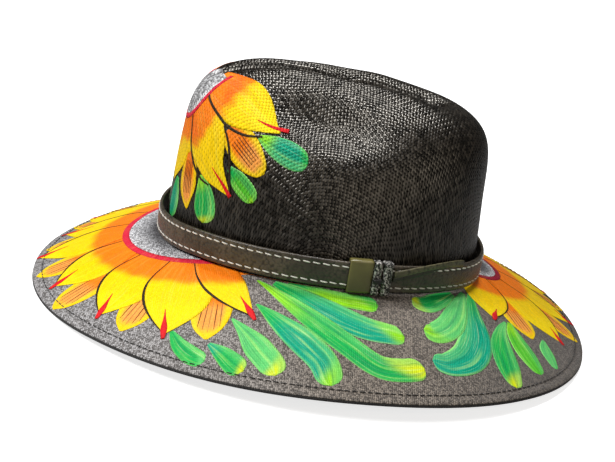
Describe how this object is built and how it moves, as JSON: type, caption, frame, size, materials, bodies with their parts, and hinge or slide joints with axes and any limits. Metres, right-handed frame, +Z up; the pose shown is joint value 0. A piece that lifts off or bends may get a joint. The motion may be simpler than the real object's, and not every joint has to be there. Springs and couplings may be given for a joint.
{
  "type": "pinch-front sun hat",
  "caption": "Wide-brimmed woven hat with a creased, pinched crown, painted sunflowers and leaves, a stitched leather hatband, a sliding keeper and a knotted lace.",
  "frame": {"origin": "centre of the head opening, in the level plane through the middle of the crown's lower edge", "axes": "+Z up along the crown, the wearer faces -Y, +X is the side that carries the keeper and the lace"},
  "size_m": [0.3278, 0.3598, 0.1556],
  "materials": {
    "crown_cloth": "coarse woven, stiffened, hand painted with flowers",
    "brim_cloth": "fine canvas weave, hand painted with flowers and leaves",
    "brim_lining": "plain black canvas",
    "brim_hem": "turned black canvas edge",
    "wire": "hidden steel wire",
    "dark_thread": "black sewing thread",
    "white_thread": "off-white sewing thread",
    "sweatband": "smooth black leatherette",
    "band_leather": "pebbled black-brown leather",
    "keeper_leather": "smooth glossy olive-black leather",
    "lace_leather": "olive-black lace leather"
  },
  "bodies": {
    "hat": {"crown": "crown_cloth", "brim_upper": "brim_cloth", "brim_lower": "brim_lining", "brim_wire": "wire", "brim_hem": "brim_hem", "brim_topstitch": "dark_thread", "sweatband": "sweatband", "sweatband_stitch": "dark_thread", "hatband": "band_leather", "hatband_stitch_upper": "white_thread", "hatband_stitch_lower": "white_thread"},
    "keeper": {"keeper": "keeper_leather"},
    "lace_knot": {"lace_wrap_front": "lace_leather", "lace_wrap_rear": "lace_leather", "lace_knot_bar": "lace_leather"},
    "upper_tail": {"lace_tail_upper": "lace_leather"},
    "lower_tail": {"lace_tail_lower": "lace_leather"}
  },
  "joints": [
    {"name": "keeper_slide", "type": "hinge", "parent": "hat", "child": "keeper", "pos_m": [-0.0288, 0, 0], "axis": [0, 0, 1], "range_deg": [-12, 0]},
    {"name": "lace_slide", "type": "hinge", "parent": "hat", "child": "lace_knot", "pos_m": [-0.0288, 0, 0], "axis": [0, 0, 1], "range_deg": [0, 3]},
    {"name": "upper_tail_swing", "type": "hinge", "parent": "lace_knot", "child": "upper_tail", "pos_m": [0.08417, 0.04134, 0.0155], "axis": [0.9391, 0.3437, 0], "range_deg": [-6, 14]},
    {"name": "lower_tail_swing", "type": "hinge", "parent": "lace_knot", "child": "lower_tail", "pos_m": [0.08281, 0.04084, 0.01161], "axis": [0.9391, 0.3437, 0], "range_deg": [-8, 6]}
  ]
}
